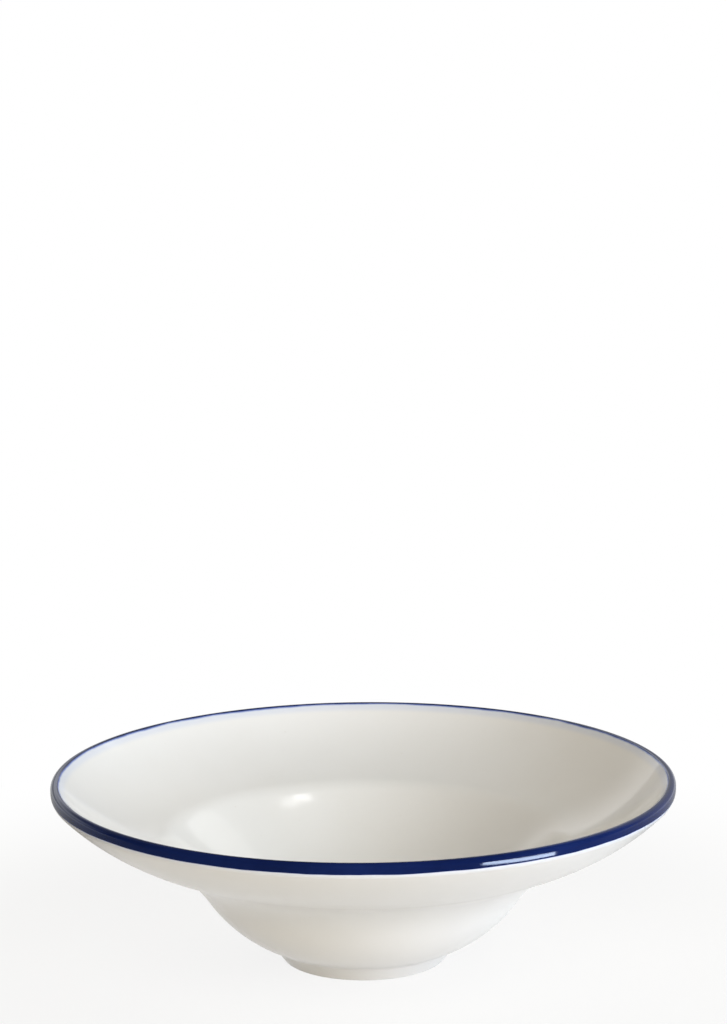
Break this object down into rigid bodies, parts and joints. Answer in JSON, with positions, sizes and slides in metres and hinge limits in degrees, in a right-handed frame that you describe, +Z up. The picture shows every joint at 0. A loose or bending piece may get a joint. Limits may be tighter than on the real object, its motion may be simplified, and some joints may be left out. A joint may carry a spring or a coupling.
{
  "type": "rimmed soup plate",
  "caption": "Deep rimmed soup plate in white glazed ceramic, with a wide dished rim edged in cobalt blue, a deep round well and a low foot ring.",
  "frame": {"origin": "centre of the foot ring, on the plane that it stands on", "axes": "+Z up along the plate's axis of revolution"},
  "size_m": [0.28, 0.28, 0.0845],
  "materials": {
    "bare_ceramic": "matt fired body, bare on the foot",
    "white_glaze": "glossy warm white glaze",
    "blue_band": "glossy cobalt-blue glaze"
  },
  "bodies": {
    "root": {"ceramic_body": "bare_ceramic", "upper_glaze": "white_glaze", "lower_glaze": "white_glaze", "base_glaze": "white_glaze", "rim_band": "blue_band"}
  },
  "joints": []
}
